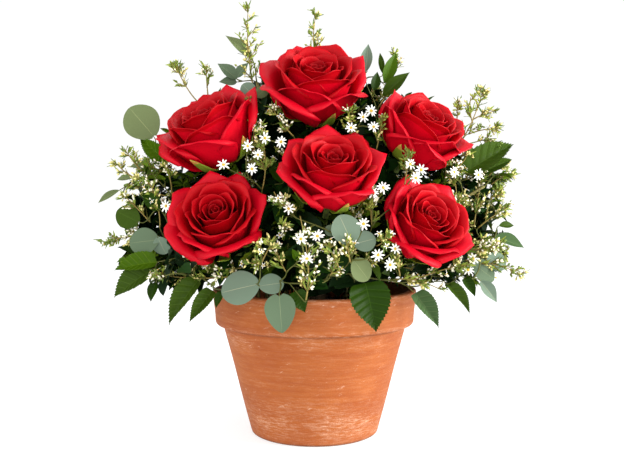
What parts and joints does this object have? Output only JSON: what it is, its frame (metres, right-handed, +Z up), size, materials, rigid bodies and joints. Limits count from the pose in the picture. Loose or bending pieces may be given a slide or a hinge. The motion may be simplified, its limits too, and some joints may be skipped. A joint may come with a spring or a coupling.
{
  "type": "potted rose bush",
  "caption": "Rose bush with large red blooms, mixed green leaves, white daisies and airy bud sprays, rooted in a rimmed tapering terracotta pot.",
  "frame": {"origin": "centre of the pot's flat underside, level with the surface it stands on", "axes": "+Z up, +X to the right of someone who looks at the bush's best side, +Y away from them"},
  "size_m": [0.429, 0.3078, 0.4285],
  "materials": {
    "terracotta": "matte",
    "soil": "matte",
    "bark": "matte",
    "green_stem": "satin",
    "rose_petal": "matte",
    "rose_leaf": "satin",
    "spray_leaf": "matte",
    "grey_leaf": "matte",
    "white_petal": "matte",
    "yellow_centre": "matte"
  },
  "bodies": {
    "root": {"pot": "terracotta", "soil": "soil", "stem": "bark", "cane_back_left": "green_stem", "cane_back_middle": "green_stem", "cane_back_right": "green_stem", "cane_back_upper_left": "green_stem", "cane_back_upper_right": "green_stem", "cane_lower_left": "green_stem", "cane_lower_right": "green_stem", "cane_middle": "green_stem", "cane_top": "green_stem", "cane_upper_left": "green_stem", "cane_upper_right": "green_stem", "bloom_back_left": "rose_petal", "bloom_back_middle": "rose_petal", "bloom_back_right": "rose_petal", "bloom_back_upper_left": "rose_petal", "bloom_back_upper_right": "rose_petal", "bloom_lower_left": "rose_petal", "bloom_lower_right": "rose_petal", "bloom_middle": "rose_petal", "bloom_top": "rose_petal", "bloom_upper_left": "rose_petal", "bloom_upper_right": "rose_petal", "shoot_back": "green_stem", "shoot_left": "green_stem", "shoot_right": "green_stem", "shoot_top": "green_stem", "shoot_top_left": "green_stem", "shoot_top_right": "green_stem", "shoot_upper_left": "green_stem", "shoot_upper_right": "green_stem", "leaves_back": "rose_leaf", "leaves_back_left": "rose_leaf", "leaves_back_right": "rose_leaf", "leaves_crown": "rose_leaf", "leaves_front": "rose_leaf", "leaves_front_left": "rose_leaf", "leaves_front_right": "rose_leaf", "leaves_heart": "rose_leaf", "leaves_left": "rose_leaf", "leaves_right": "rose_leaf", "spray_back": "spray_leaf", "spray_left": "spray_leaf", "spray_right": "spray_leaf", "spray_top": "spray_leaf", "spray_top_left": "spray_leaf", "spray_top_right": "spray_leaf", "spray_upper_left": "spray_leaf", "spray_upper_right": "spray_leaf"}
  },
  "joints": []
}
